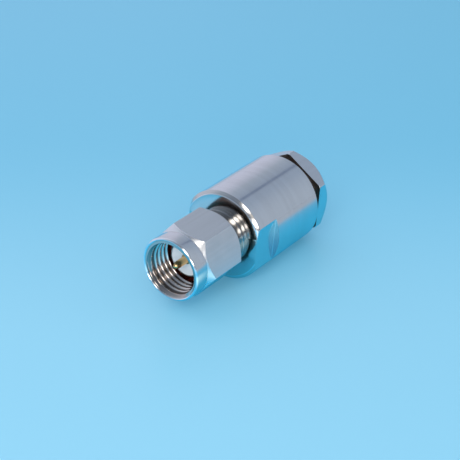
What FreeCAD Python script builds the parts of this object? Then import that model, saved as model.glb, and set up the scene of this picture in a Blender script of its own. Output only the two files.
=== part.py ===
import FreeCAD, Part
import math
import os
import re
import Sketcher

# A coaxial plug for a 5 mm cable: a hexagon coupling nut that turns freely on the turned front body,
# a centre contact held between two insulators, a round main body with two wrench flats, and the clamp
# that grips the cable: braid clamp, rubber gasket, thrust washer and a screwed clamp nut.
#
# Frame: the axis of the plug is X and the mating end faces -X. The origin is the centre of the mating
# reference plane, the front face of the barrel. +Z is up. Lengths are in millimetres, angles in degrees.
SIZES = [
    # Mating face
    ("pin_dia", 0.914, "mating pin"),
    ("pin_reach", 2.20, "tip of the pin ahead of the reference plane"),
    ("pin_taper", 0.45, "length of the tapered tip"),
    ("pin_tip_dia", 0.42, "flat end of the tapered tip"),
    ("barrel_wall", 0.225, "wall of the barrel that enters the mating socket"),
    ("barrel_length", 2.50, "reference plane to the gasket's shoulder"),
    ("barrel_edge", 0.08, "bevel of the barrel's front edge"),
    ("dielectric_dia", 4.10, "front insulator inside the barrel"),
    ("gasket_width", 0.605, "interface gasket across its section"),
    ("gasket_thick", 0.60, "interface gasket along the axis"),
    # Coupling nut
    ("nut_across", 8.00, "coupling nut across its flats"),
    ("nut_blank_rise", 0.70, "bar of the coupling nut proud of the flats"),
    ("nut_lip", 1.08, "coupling nut behind the ring's groove"),
    ("nut_reach", 3.05, "front face of the nut ahead of the reference plane"),
    ("collar_step", 0.03, "plain round collar below the hexagon's flats"),
    ("collar_length", 2.13, "collar along the axis"),
    ("rim_bevel", 0.17, "bevel of the collar's front edge"),
    ("nut_rear_step", 0.10, "rear face of the nut below the hexagon's flats"),
    ("rim_width", 0.35, "front face of the collar round the mouth of the nut"),
    ("thread_room", 0.535, "room between the barrel and the crest of the coupling thread"),
    ("relief_step", 0.12, "run-out behind the coupling thread, below the nut's bore"),
    ("relief_length", 1.55, "run-out along the axis"),
    ("relief_lip", 0.60, "metal between the run-out and the ring's groove"),
    ("nut_entry_bevel", 0.20, "bevel at the rear of the nut's bore"),
    ("nut_end_gap", 0.25, "gap between the nut and the neck flange"),
    ("nut_turn", 11.5, "turn of the coupling nut at rest"),
    # Journal of the coupling nut and its retaining ring
    ("journal_wall", 0.98, "wall of the front body where the nut turns on it"),
    ("journal_gap", 0.05, "radial running clearance of the nut on the journal"),
    ("ring_setback", 1.10, "front face of the retaining ring behind the journal's shoulder"),
    ("ring_rise", 0.30, "retaining ring proud of the journal"),
    ("ring_width", 0.50, "retaining ring across its section"),
    ("ring_thick", 0.60, "retaining ring along the axis"),
    ("ring_opening", 34, "opening of the ring as an angle"),
    ("ring_side_gap", 0.05, "gap of the ring in the nut's groove"),
    ("ring_float", 0.15, "axial play of the ring in the body's groove"),
    ("groove_wall", 0.38, "wall of the front body under the ring's groove"),
    # Neck and the joint with the main body
    ("neck_step", 0.52, "neck between the nut and the main body, proud of the spigot"),
    ("neck_length", 0.94, "flange of the front body"),
    ("neck_edge", 0.07, "bevel of the neck's edges"),
    ("boss_length", 0.43, "boss of the main body in the neck"),
    ("spigot_wall", 0.38, "wall of the spigot of the front body"),
    ("spigot_length", 3.90, "spigot of the front body along the axis"),
    ("spigot_bevel", 0.20, "bevel of the spigot's end"),
    ("spigot_end_gap", 0.05, "gap behind the spigot's end"),
    ("press_gap", 0.02, "radial gap of the pressed pieces"),
    # Main body
    ("body_wall", 1.47, "wall of the main body outside the clamp thread"),
    ("body_bevel_long", 0.36, "front bevel along the axis"),
    ("body_bevel_high", 0.45, "front bevel across the axis"),
    ("body_rear_edge", 0.06, "bevel of the rear edge"),
    ("wrench_deep", 0.75, "wrench flats below the round body"),
    ("wrench_length", 3.70, "wrench flats behind the front face"),
    ("wrench_turn", 6.0, "turn of the wrench flats"),
    ("web_thick", 1.00, "inner web of the main body"),
    ("cavity_room", 0.95, "cavity round the big end of the braid clamp's taper"),
    ("clamp_thread_deep", 0.23, "mean line of the body's clamp thread below the cavity"),
    ("clamp_thread_length", 4.60, "clamp thread in the body"),
    ("clamp_thread_gap", 0.05, "radial clearance of the clamp thread"),
    ("thread_mouth", 0.25, "bevel at the mouth of the clamp thread"),
    # Insulators and centre contact
    ("seat_step", 0.53, "seat of the insulators wider than the bore of the barrel"),
    ("seat_deep", 2.92, "seat of the insulators in the spigot's end"),
    ("insulator_flange", 1.00, "front insulator's flange along the axis"),
    ("rear_flange_thick", 0.80, "rear insulator's flange"),
    ("cavity_gap", 0.05, "radial gap of the loose pieces in the cavity"),
    ("contact_dia", 1.27, "contact inside the front insulator"),
    ("contact_collar_dia", 2.20, "collar that holds the contact"),
    ("contact_collar_long", 0.60, "collar along the axis"),
    ("solder_cup_dia", 1.80, "solder cup of the contact"),
    ("solder_cup_setback", 0.07, "end of the solder cup inside the rear insulator"),
    ("conductor_bore_dia", 1.00, "bore for the cable's conductor"),
    ("conductor_bore_deep", 2.60, "bore for the cable's conductor along the axis"),
    ("drill_point", 0.28, "conical bottom of the conductor bore"),
    ("sight_hole_dia", 0.50, "hole where the solder is seen"),
    ("sight_hole_place", 1.90, "sight hole from the rear end of the contact"),
    # Cable clamp
    ("cable_dia", 5.00, "jacket of the cable"),
    ("core_bore_dia", 3.10, "braid clamp's bore for the cable's dielectric"),
    ("clamp_flange_thick", 0.80, "braid clamp's flange"),
    ("taper_length", 1.90, "braid clamp's taper"),
    ("taper_rise", 1.00, "taper at the flange proud of its end"),
    ("sleeve_wall", 0.55, "wall of the braid clamp at the taper's end"),
    ("soft_gap", 0.10, "gap between the cable gasket and the braid clamp"),
    ("cable_gasket_length", 2.25, "cable gasket along the axis"),
    ("gasket_slack", 0.63, "gap between the cable gasket and the washer, before it is tightened"),
    ("gasket_room", 0.10, "radial gap between the cable gasket and the cable"),
    ("recess_gap", 0.20, "radial gap of the gasket's recess over the taper"),
    ("recess_length", 1.15, "conical recess of the cable gasket"),
    ("washer_thick", 0.70, "thrust washer"),
    ("washer_width", 1.10, "thrust washer across its section"),
    ("washer_gap", 0.02, "gap between the washer and the clamp nut"),
    ("cable_room", 0.15, "radial gap between the clamp nut's bore and the cable"),
    ("clamp_gap", 1.22, "gap between the main body and the clamp nut's hexagon"),
    ("clamp_shank", 3.66, "screwed shank of the clamp nut"),
    ("shank_bevel", 0.30, "bevel of the shank's end"),
    ("undercut_deep", 0.28, "undercut beside the hexagon, below the shank"),
    ("undercut_length", 0.50, "undercut along the axis"),
    ("clamp_flat_deep", 0.75, "clamp nut's flats below the round body"),
    ("clamp_hex_length", 2.37, "clamp nut's hexagon along the axis"),
    ("clamp_front_bevel", 0.10, "front bevel of the hexagon's corners"),
    ("clamp_bevel_long", 1.30, "rear bevel along the axis"),
    ("clamp_bevel_high", 0.98, "rear bevel across the axis"),
    ("cable_mouth_bevel", 0.35, "bevel at the mouth of the cable bore"),
    ("clamp_turn", 34.4, "turn of the clamp nut at rest"),
    ("mill_margin", 1.00, "reach of the milling cuts past the metal"),
]

# Places along the axis and fitted diameters, each worked out from the sizes above.
DERIVED = {
    "ring_front": "barrel_length + ring_setback",
    "nut_groove_front": "nut_reach + ring_front - ring_side_gap",
    "nut_groove_end": "nut_reach + ring_front + ring_thick + ring_side_gap",
    "nut_length": "nut_groove_end + nut_lip",
    "relief_end": "nut_groove_front - relief_lip",
    "coupling_thread_end": "relief_end - relief_length",
    "neck_front": "nut_length - nut_reach + nut_end_gap",
    "joint": "neck_front + neck_length",
    "body_front": "joint + boss_length",
    "spigot_end": "joint + spigot_length",
    "web_front": "spigot_end + spigot_end_gap",
    "web_rear": "web_front + web_thick",
    "rear_insulator_end": "web_rear + rear_flange_thick",
    "clamp_flange_end": "rear_insulator_end + clamp_flange_thick",
    "cable_gasket_front": "clamp_flange_end + soft_gap",
    "washer_front": "cable_gasket_front + cable_gasket_length + gasket_slack",
    "clamp_hex_front": "washer_front + washer_thick + washer_gap + clamp_shank",
    "body_rear": "clamp_hex_front - clamp_gap",
    "insulator_step": "spigot_end - seat_deep",
    "insulator_length": "insulator_step + insulator_flange",
    "groove_front": "ring_front - ring_float",
    "groove_end": "ring_front + ring_thick + ring_float",
    "barrel_bore_dia": "dielectric_dia + 2 * press_gap",
    "barrel_dia": "barrel_bore_dia + 2 * barrel_wall",
    "coupling_bore_dia": "barrel_dia + 2 * thread_room",
    "collar_dia": "nut_across - 2 * collar_step",
    "nut_blank_dia": "nut_across + 2 * nut_blank_rise",
    "nut_rear_dia": "nut_across - 2 * nut_rear_step",
    "mouth_dia": "collar_dia - 2 * rim_width",
    "journal_dia": "barrel_bore_dia + 2 * journal_wall",
    "ring_dia": "journal_dia + 2 * ring_rise",
    "body_groove_dia": "barrel_bore_dia + 2 * groove_wall",
    "nut_groove_dia": "ring_dia + 2 * journal_gap",
    "nut_bore_dia": "journal_dia + 2 * journal_gap",
    "relief_dia": "nut_bore_dia + 2 * relief_step",
    "thread_start": "(mouth_dia - coupling_bore_dia) / 2",
    "insulator_flange_dia": "socket_dia - 2 * press_gap",
    "contact_bore_dia": "contact_dia + 2 * press_gap",
    "socket_dia": "barrel_bore_dia + 2 * seat_step",
    "spigot_dia": "socket_dia + 2 * spigot_wall",
    "neck_dia": "spigot_dia + 2 * neck_step",
    "spigot_bore_dia": "spigot_dia + 2 * press_gap",
    "wrench_across": "body_dia - 2 * wrench_deep",
    "clamp_across": "body_dia - 2 * clamp_flat_deep",
    "clamp_thread_dia": "cavity_dia + 2 * clamp_thread_deep",
    "taper_small_dia": "core_bore_dia + 2 * sleeve_wall",
    "taper_big_dia": "taper_small_dia + 2 * taper_rise",
    "cavity_dia": "taper_big_dia + 2 * cavity_room",
    "body_dia": "clamp_thread_dia + 2 * body_wall",
    "loose_dia": "cavity_dia - 2 * cavity_gap",
    "washer_bore_dia": "loose_dia - 2 * washer_width",
    "gasket_bore_dia": "cable_dia + 2 * gasket_room",
    "cable_bore_dia": "cable_dia + 2 * cable_room",
    "contact_end": "rear_insulator_end - solder_cup_setback",
    "shank_dia": "clamp_thread_dia - 2 * clamp_thread_gap",
    "undercut_dia": "shank_dia - 2 * undercut_deep",
    "taper_slope": "(taper_big_dia - taper_small_dia) / taper_length",
    "recess_big_dia": "taper_big_dia - soft_gap * taper_slope + 2 * recess_gap",
}

doc = FreeCAD.newDocument("coaxial_plug")
sheet = doc.addObject("Spreadsheet::Sheet", "Sizes")
for row, (name, value, meaning) in enumerate(SIZES, start=1):
    sheet.set(f"A{row}", name)
    sheet.set(f"B{row}", str(value))
    sheet.set(f"C{row}", meaning)
    sheet.setAlias(f"B{row}", name)
doc.recompute()

SIZE_NAMES = {name for name, value, meaning in SIZES}


def formula(text):
    """Return an expression on the sheet's cells for a formula that names sizes and derived places."""

    def spelled_out(match):
        word = match.group()
        if word in DERIVED:
            return "(" + formula(DERIVED[word]) + ")"
        if word in SIZE_NAMES:
            return "Sizes." + word
        return word

    return re.sub(r"[a-z_]+", spelled_out, text)


def number(text):
    """Return a formula's value as it stands in the sheet."""
    return float(sheet.evalExpression(formula(text)))


def new_body(name, along="0", turn="0"):
    """Start a piece whose own origin lies at the place along the axis, turned about the axis."""
    body = doc.addObject("PartDesign::Body", name)
    body.Label = name
    body.Placement = FreeCAD.Placement(
        FreeCAD.Vector(number(along), 0, 0), FreeCAD.Rotation(FreeCAD.Vector(1, 0, 0), number(turn))
    )
    if along != "0":
        body.setExpression("Placement.Base.x", formula(along))
    if turn != "0":
        body.setExpression("Placement.Rotation.Angle", formula(turn))
    return body


def new_sketch(body, name, plane):
    """Attach an empty sketch to one of the body's own origin planes."""
    sketch = body.newObject("Sketcher::SketchObject", name)
    support = next(item for item in body.Origin.OriginFeatures if item.Role == plane)
    sketch.AttachmentSupport = [(support, "")]
    sketch.MapMode = "FlatFace"
    return sketch


def hold_point(sketch, line, end, across, upward):
    """Tie a line's end to the sketch's origin with two driven distances, or to an axis at nought."""
    for kind, text, axis in (("DistanceX", across, -2), ("DistanceY", upward, -1)):
        if text == "0":
            sketch.addConstraint(Sketcher.Constraint("PointOnObject", line, end, axis))
            continue
        held = sketch.addConstraint(Sketcher.Constraint(kind, -1, 1, line, end, number(text)))
        sketch.setExpression(f"Constraints[{held}]", formula(text))


def add_outline(sketch, corners):
    """Draw a closed outline through corners given as pairs of formulas."""
    points = [FreeCAD.Vector(number(across), number(upward), 0) for across, upward in corners]
    count = len(points)
    for index in range(count):
        sketch.addGeometry(Part.LineSegment(points[index], points[(index + 1) % count]), False)
    for index in range(count):
        sketch.addConstraint(Sketcher.Constraint("Coincident", index, 2, (index + 1) % count, 1))
    for index, (across, upward) in enumerate(corners):
        hold_point(sketch, index, 1, across, upward)


def turned(name, section, along="0", turn="0", sweep="360"):
    """Make a turned piece: its section, as pairs of place and radius, revolved about the axis."""
    body = new_body(name, along, turn)
    sketch = new_sketch(body, name + "_section", "XZ_Plane")
    add_outline(sketch, section)
    solid = body.newObject("PartDesign::Revolution", name + "_turned")
    solid.Profile = sketch
    solid.ReferenceAxis = (sketch, ["H_Axis"])
    solid.Angle = number(sweep)
    if sweep != "360":
        solid.setExpression("Angle", formula(sweep))
    body.Tip = solid
    doc.recompute()
    return body


def mill_hexagon(body, across, blank_dia, length):
    """Mill six flats along a turned piece, with two corners of the hexagon on the body's Y axis."""
    sketch = new_sketch(body, body.Name + "_hexagon", "YZ_Plane")
    corner_radius = number(across) / math.sqrt(3)
    for index in range(6):
        ends = [math.radians(60 * (index + step)) for step in (0, 1)]
        points = [FreeCAD.Vector(corner_radius * math.cos(a), corner_radius * math.sin(a), 0) for a in ends]
        sketch.addGeometry(Part.LineSegment(*points), False)
    outer_radius = number(blank_dia) / 2 + number("mill_margin")
    centre, upward = FreeCAD.Vector(), FreeCAD.Vector(0, 0, 1)
    guide = sketch.addGeometry(Part.Circle(centre, upward, corner_radius), True)
    outer = sketch.addGeometry(Part.Circle(centre, upward, outer_radius), False)
    for index in range(6):
        sketch.addConstraint(Sketcher.Constraint("Coincident", index, 2, (index + 1) % 6, 1))
        sketch.addConstraint(Sketcher.Constraint("PointOnObject", index, 1, guide))
    for index in range(1, 6):
        sketch.addConstraint(Sketcher.Constraint("Equal", 0, index))
    sketch.addConstraint(Sketcher.Constraint("PointOnObject", 0, 1, -1))
    for circle in (guide, outer):
        sketch.addConstraint(Sketcher.Constraint("Coincident", circle, 3, -1, 1))
    held = sketch.addConstraint(Sketcher.Constraint("Radius", guide, corner_radius))
    sketch.setExpression(f"Constraints[{held}]", formula(across) + " / sqrt(3)")
    held = sketch.addConstraint(Sketcher.Constraint("Radius", outer, outer_radius))
    sketch.setExpression(f"Constraints[{held}]", formula(blank_dia + " / 2 + mill_margin"))
    return cut_along(body, sketch, body.Name + "_milled", length)


def cut_along(body, sketch, name, length):
    """Pocket a sketch on the YZ plane into the piece behind it, along +X."""
    before = body.Shape.Volume
    pocket = body.newObject("PartDesign::Pocket", name)
    pocket.Profile = sketch
    pocket.Type = 0
    pocket.Reversed = True
    pocket.Length = number(length)
    pocket.setExpression("Length", formula(length))
    body.Tip = pocket
    doc.recompute()
    if body.Shape.Volume >= before:
        raise ValueError(name + " cuts nothing")
    return pocket


def make_coupling_nut():
    """Hexagon nut with a plain collar in front, an inner thread, its run-out and the ring's groove."""
    section = [
        ("0", "mouth_dia / 2"),
        ("0", "collar_dia / 2 - rim_bevel"),
        ("rim_bevel", "collar_dia / 2"),
        ("collar_length", "collar_dia / 2"),
        ("collar_length + (nut_blank_dia - collar_dia) / 2", "nut_blank_dia / 2"),
        ("nut_length - (nut_blank_dia - nut_rear_dia) / 2", "nut_blank_dia / 2"),
        ("nut_length", "nut_rear_dia / 2"),
        ("nut_length", "nut_bore_dia / 2 + nut_entry_bevel"),
        ("nut_length - nut_entry_bevel", "nut_bore_dia / 2"),
        ("nut_groove_end", "nut_bore_dia / 2"),
        ("nut_groove_end", "nut_groove_dia / 2"),
        ("nut_groove_front", "nut_groove_dia / 2"),
        ("nut_groove_front", "nut_bore_dia / 2"),
        ("relief_end", "nut_bore_dia / 2"),
        ("relief_end", "relief_dia / 2"),
        ("coupling_thread_end", "relief_dia / 2"),
        ("coupling_thread_end", "coupling_bore_dia / 2"),
        ("thread_start", "coupling_bore_dia / 2"),
    ]
    body = turned("coupling_nut", section, along="-nut_reach", turn="nut_turn")
    mill_hexagon(body, "nut_across", "nut_blank_dia", "nut_length")
    return body


def make_retaining_ring():
    """Open spring ring that holds the coupling nut on the front body."""
    section = [
        ("0", "ring_dia / 2 - ring_width"),
        ("0", "ring_dia / 2"),
        ("ring_thick", "ring_dia / 2"),
        ("ring_thick", "ring_dia / 2 - ring_width"),
    ]
    return turned("retaining_ring", section, along="ring_front", sweep="360 - ring_opening")


def make_interface_gasket():
    """Flat rubber ring round the barrel, in front of the journal's shoulder."""
    section = [
        ("0", "barrel_dia / 2 + journal_gap"),
        ("0", "barrel_dia / 2 + journal_gap + gasket_width"),
        ("gasket_thick", "barrel_dia / 2 + journal_gap + gasket_width"),
        ("gasket_thick", "barrel_dia / 2 + journal_gap"),
    ]
    return turned("interface_gasket", section, along="barrel_length - gasket_thick - press_gap")


def make_front_body():
    """Turned front body: barrel, journal with the ring's groove, neck flange and spigot."""
    section = [
        ("0", "barrel_bore_dia / 2"),
        ("0", "barrel_dia / 2 - barrel_edge"),
        ("barrel_edge", "barrel_dia / 2"),
        ("barrel_length", "barrel_dia / 2"),
        ("barrel_length", "journal_dia / 2"),
        ("groove_front", "journal_dia / 2"),
        ("groove_front", "body_groove_dia / 2"),
        ("groove_end", "body_groove_dia / 2"),
        ("groove_end", "journal_dia / 2"),
        ("neck_front", "journal_dia / 2"),
        ("neck_front", "neck_dia / 2 - neck_edge"),
        ("neck_front + neck_edge", "neck_dia / 2"),
        ("joint - neck_edge", "neck_dia / 2"),
        ("joint", "neck_dia / 2 - neck_edge"),
        ("joint", "spigot_dia / 2"),
        ("spigot_end - spigot_bevel", "spigot_dia / 2"),
        ("spigot_end", "spigot_dia / 2 - spigot_bevel"),
        ("spigot_end", "socket_dia / 2"),
        ("insulator_step", "socket_dia / 2"),
        ("insulator_step", "barrel_bore_dia / 2"),
    ]
    return turned("front_body", section)


def make_front_insulator():
    """Insulator of the barrel, with a flange at its rear end."""
    section = [
        ("0", "contact_bore_dia / 2"),
        ("0", "dielectric_dia / 2"),
        ("insulator_step", "dielectric_dia / 2"),
        ("insulator_step", "insulator_flange_dia / 2"),
        ("insulator_length", "insulator_flange_dia / 2"),
        ("insulator_length", "contact_bore_dia / 2"),
    ]
    return turned("front_insulator", section)


def make_centre_contact():
    """Gilt contact: tapered pin, stem, collar and a solder cup with a sight hole."""
    section = [
        ("0", "0"),
        ("0", "pin_tip_dia / 2"),
        ("pin_taper", "pin_dia / 2"),
        ("pin_reach", "pin_dia / 2"),
        ("pin_reach", "contact_dia / 2"),
        ("pin_reach + insulator_length", "contact_dia / 2"),
        ("pin_reach + insulator_length", "contact_collar_dia / 2"),
        ("pin_reach + insulator_length + contact_collar_long", "contact_collar_dia / 2"),
        ("pin_reach + insulator_length + contact_collar_long", "solder_cup_dia / 2"),
        ("pin_reach + contact_end", "solder_cup_dia / 2"),
        ("pin_reach + contact_end", "conductor_bore_dia / 2"),
        ("pin_reach + contact_end - conductor_bore_deep", "conductor_bore_dia / 2"),
        ("pin_reach + contact_end - conductor_bore_deep - drill_point", "0"),
    ]
    body = turned("centre_contact", section, along="-pin_reach")
    drill_sight_hole(body)
    return body


def drill_sight_hole(body):
    """Drill one wall of the solder cup across the axis."""
    sketch = new_sketch(body, "sight_hole_circle", "XZ_Plane")
    place = "pin_reach + contact_end - sight_hole_place"
    centre = FreeCAD.Vector(number(place), 0, 0)
    radius = number("sight_hole_dia") / 2
    sketch.addGeometry(Part.Circle(centre, FreeCAD.Vector(0, 0, 1), radius), False)
    sketch.addConstraint(Sketcher.Constraint("PointOnObject", 0, 3, -1))
    held = sketch.addConstraint(Sketcher.Constraint("DistanceX", -1, 1, 0, 3, centre.x))
    sketch.setExpression(f"Constraints[{held}]", formula(place))
    held = sketch.addConstraint(Sketcher.Constraint("Radius", 0, radius))
    sketch.setExpression(f"Constraints[{held}]", formula("sight_hole_dia / 2"))
    cut_along(body, sketch, "sight_hole", "solder_cup_dia")


def make_rear_insulator():
    """Insulator behind the contact's collar, with a flange against the main body's web."""
    section = [
        ("0", "contact_collar_dia / 2 + press_gap"),
        ("0", "insulator_flange_dia / 2"),
        ("web_rear - insulator_length", "insulator_flange_dia / 2"),
        ("web_rear - insulator_length", "loose_dia / 2"),
        ("rear_insulator_end - insulator_length", "loose_dia / 2"),
        ("rear_insulator_end - insulator_length", "solder_cup_dia / 2 + press_gap"),
        ("contact_collar_long + press_gap", "solder_cup_dia / 2 + press_gap"),
        ("contact_collar_long + press_gap", "contact_collar_dia / 2 + press_gap"),
    ]
    return turned("rear_insulator", section, along="insulator_length")


def make_main_body():
    """Round main body: boss, spigot bore, web, cavity, clamp thread and two wrench flats."""
    section = [
        ("0", "spigot_bore_dia / 2"),
        ("0", "neck_dia / 2 - neck_edge"),
        ("neck_edge", "neck_dia / 2"),
        ("boss_length", "neck_dia / 2"),
        ("boss_length", "body_dia / 2 - body_bevel_high"),
        ("boss_length + body_bevel_long", "body_dia / 2"),
        ("body_rear - joint - body_rear_edge", "body_dia / 2"),
        ("body_rear - joint", "body_dia / 2 - body_rear_edge"),
        ("body_rear - joint", "clamp_thread_dia / 2 + thread_mouth"),
        ("body_rear - joint - thread_mouth", "clamp_thread_dia / 2"),
        ("body_rear - joint - clamp_thread_length", "clamp_thread_dia / 2"),
        ("body_rear - joint - clamp_thread_length", "cavity_dia / 2"),
        ("web_rear - joint", "cavity_dia / 2"),
        ("web_rear - joint", "socket_dia / 2"),
        ("web_front - joint", "socket_dia / 2"),
        ("web_front - joint", "spigot_bore_dia / 2"),
    ]
    body = turned("main_body", section, along="joint", turn="wrench_turn")
    mill_wrench_flats(body)
    return body


def mill_wrench_flats(body):
    """Mill one flat from the front face of the main body and mirror it to the other side."""
    sketch = new_sketch(body, "wrench_flat_outline", "YZ_Plane")
    near, far = number("wrench_across / 2"), number("body_dia / 2 + mill_margin")
    corners = [(near, -far), (far, -far), (far, far), (near, far)]
    points = [FreeCAD.Vector(across, upward, 0) for across, upward in corners]
    for index in range(4):
        sketch.addGeometry(Part.LineSegment(points[index], points[(index + 1) % 4]), False)
    for index in range(4):
        sketch.addConstraint(Sketcher.Constraint("Coincident", index, 2, (index + 1) % 4, 1))
    for index in (0, 2):
        sketch.addConstraint(Sketcher.Constraint("Horizontal", index))
    sketch.addConstraint(Sketcher.Constraint("Vertical", 1))
    sketch.addConstraint(Sketcher.Constraint("Symmetric", 0, 1, 3, 1, -1))
    for line, end, text in ((0, 1, "wrench_across / 2"), (0, 2, "body_dia / 2 + mill_margin")):
        held = sketch.addConstraint(Sketcher.Constraint("DistanceX", -1, 1, line, end, number(text)))
        sketch.setExpression(f"Constraints[{held}]", formula(text))
    held = sketch.addConstraint(Sketcher.Constraint("DistanceY", 1, 1, 1, 2, 2 * far))
    sketch.setExpression(f"Constraints[{held}]", formula("body_dia + 2 * mill_margin"))
    flat = cut_along(body, sketch, "wrench_flat", "boss_length + wrench_length")
    mirrored = body.newObject("PartDesign::Mirrored", "wrench_flats")
    mirrored.Originals = [flat]
    mirrored.MirrorPlane = (next(item for item in body.Origin.OriginFeatures if item.Role == "XZ_Plane"), [""])
    body.Tip = mirrored
    doc.recompute()


def make_braid_clamp():
    """Flanged sleeve whose taper spreads the cable's braid."""
    section = [
        ("0", "core_bore_dia / 2"),
        ("0", "loose_dia / 2"),
        ("clamp_flange_thick", "loose_dia / 2"),
        ("clamp_flange_thick", "taper_big_dia / 2"),
        ("clamp_flange_thick + taper_length", "taper_small_dia / 2"),
        ("clamp_flange_thick + taper_length", "core_bore_dia / 2"),
    ]
    return turned("braid_clamp", section, along="rear_insulator_end")


def make_cable_gasket():
    """Rubber ring that is squeezed on to the cable, with a conical recess over the taper."""
    section = [
        ("0", "recess_big_dia / 2"),
        ("0", "loose_dia / 2"),
        ("cable_gasket_length", "loose_dia / 2"),
        ("cable_gasket_length", "gasket_bore_dia / 2"),
        ("recess_length", "gasket_bore_dia / 2"),
    ]
    return turned("cable_gasket", section, along="cable_gasket_front")


def make_thrust_washer():
    """Flat washer between the cable gasket and the clamp nut."""
    section = [
        ("0", "washer_bore_dia / 2"),
        ("0", "loose_dia / 2"),
        ("washer_thick", "loose_dia / 2"),
        ("washer_thick", "washer_bore_dia / 2"),
    ]
    return turned("thrust_washer", section, along="washer_front")


def make_clamp_nut():
    """Hollow screw with a hexagon head, an undercut and a bore for the cable, from the head's front face."""
    section = [
        ("-clamp_shank", "cable_bore_dia / 2"),
        ("-clamp_shank", "shank_dia / 2 - shank_bevel"),
        ("shank_bevel - clamp_shank", "shank_dia / 2"),
        ("-undercut_length", "shank_dia / 2"),
        ("-undercut_length", "undercut_dia / 2"),
        ("0", "undercut_dia / 2"),
        ("0", "body_dia / 2 - clamp_front_bevel"),
        ("clamp_front_bevel", "body_dia / 2"),
        ("clamp_hex_length - clamp_bevel_long", "body_dia / 2"),
        ("clamp_hex_length", "body_dia / 2 - clamp_bevel_high"),
        ("clamp_hex_length", "cable_bore_dia / 2 + cable_mouth_bevel"),
        ("clamp_hex_length - cable_mouth_bevel", "cable_bore_dia / 2"),
    ]
    body = turned("clamp_nut", section, along="clamp_hex_front", turn="clamp_turn")
    mill_hexagon(body, "clamp_across", "body_dia", "clamp_hex_length")
    return body


def check_document():
    """Stop if any object of the document is invalid or in error."""
    for item in doc.Objects:
        if "Invalid" in item.State or "Error" in item.State:
            raise ValueError(f"{item.Name} failed: {item.State}")


def write_piece(body):
    """Check a piece's shape and write it to its own file."""
    shape = body.Shape
    if shape.isNull() or not shape.isValid() or len(shape.Solids) != 1:
        raise ValueError(body.Label + " has no single valid solid")
    shape.exportStep(f"parts/{body.Label}.step")
    print(f"{body.Label}: {shape.Volume:.3f} mm3")


PIECES = [
    make_coupling_nut(),
    make_retaining_ring(),
    make_interface_gasket(),
    make_front_body(),
    make_front_insulator(),
    make_centre_contact(),
    make_rear_insulator(),
    make_main_body(),
    make_braid_clamp(),
    make_cable_gasket(),
    make_thrust_washer(),
    make_clamp_nut(),
]
doc.recompute()
check_document()
os.makedirs("parts", exist_ok=True)
for piece in PIECES:
    write_piece(piece)
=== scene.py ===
"""Looks of a small coaxial plug: its turned and milled pieces, their finishes, the table, light and camera."""

import logging
import math
from dataclasses import dataclass
from enum import Enum
from typing import Callable

import bpy
from mathutils import Matrix, Vector


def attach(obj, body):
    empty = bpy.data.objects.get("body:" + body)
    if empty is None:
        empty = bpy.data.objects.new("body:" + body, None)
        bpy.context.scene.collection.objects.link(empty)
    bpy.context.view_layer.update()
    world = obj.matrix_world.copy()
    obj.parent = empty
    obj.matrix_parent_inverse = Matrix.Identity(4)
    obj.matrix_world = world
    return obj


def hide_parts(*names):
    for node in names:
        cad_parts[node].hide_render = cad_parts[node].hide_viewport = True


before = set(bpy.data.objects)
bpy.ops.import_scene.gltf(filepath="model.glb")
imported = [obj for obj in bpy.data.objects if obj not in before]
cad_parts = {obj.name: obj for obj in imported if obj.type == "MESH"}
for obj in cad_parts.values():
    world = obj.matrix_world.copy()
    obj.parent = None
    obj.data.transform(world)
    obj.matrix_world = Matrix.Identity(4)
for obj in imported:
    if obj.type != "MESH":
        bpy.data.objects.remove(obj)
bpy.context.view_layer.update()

log = logging.getLogger("plug")

Point = tuple[float, float]
Colour = tuple[float, float, float]
Place = tuple[float, float, float]
Piece = bpy.types.Object
Socket = bpy.types.NodeSocket
EdgeTest = Callable[[Vector, Vector, float], bool]

MM = 0.001
AROUND = 144  # steps of a turned surface
CLOSE = 0.0005  # points closer than this are one, in millimetres
ON_ROW = 0.001  # how far a row's points may lie from its radius, in millimetres
LEAST_BEND = 12.0  # edges that bend less aren't bevelled, in degrees
SMOOTH_ANGLE = math.radians(35)
CLEAR = 8.0  # well outside every piece, in millimetres
FLAT_CORNERS = 12  # a milled flat is one face with more corners than this
MIDDLE = Vector((0.008, 0, 0))  # what the lights face, in metres


# Section drawing, in millimetres along the axis and from it.


@dataclass(frozen=True)
class Corner:
    """A corner of a turned section: its place along the axis, its radius and how far it is rounded."""

    x: float
    r: float
    soft: float = 0.0


def rounded(corners: list[Corner], steps: int) -> list[Point]:
    """Round the corners of a closed section.

    Args:
        corners: the section's corners in order.
        steps: straight pieces that each rounding is made of.

    Returns:
        The points of the section as pairs of place and radius.
    """
    points: list[Point] = []
    for index, corner in enumerate(corners):
        here = Vector((corner.x, corner.r))
        if corner.soft <= 0:
            points.append((corner.x, corner.r))
            continue
        before, after = corners[index - 1], corners[(index + 1) % len(corners)]
        to_before = Vector((before.x, before.r)) - here
        to_after = Vector((after.x, after.r)) - here
        reach = min(corner.soft, to_before.length * 0.45, to_after.length * 0.45)
        start, end = here + to_before.normalized() * reach, here + to_after.normalized() * reach
        for step in range(steps + 1):
            t = step / steps
            spot = start * (1 - t) ** 2 + here * 2 * t * (1 - t) + end * t**2
            points.append((spot.x, spot.y))
    return points


def rows(start: float, end: float, spacing: float, radius: float) -> list[Corner]:
    """Divide a plain span from start to end into rows no farther apart than the spacing, for a thread."""
    count = max(1, math.ceil(abs(end - start) / spacing))
    return [Corner(start + (end - start) * index / count, radius) for index in range(count + 1)]


# Work on the bench, in millimetres until a piece is finished.


def from_axis(spot: Vector) -> float:
    """Distance of a spot from the X axis."""
    return math.hypot(spot.y, spot.z)


def deselect() -> None:
    """Leave edit mode and deselect every object."""
    if bpy.context.object and bpy.context.object.mode != "OBJECT":
        bpy.ops.object.mode_set(mode="OBJECT")
    bpy.ops.object.select_all(action="DESELECT")


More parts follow.
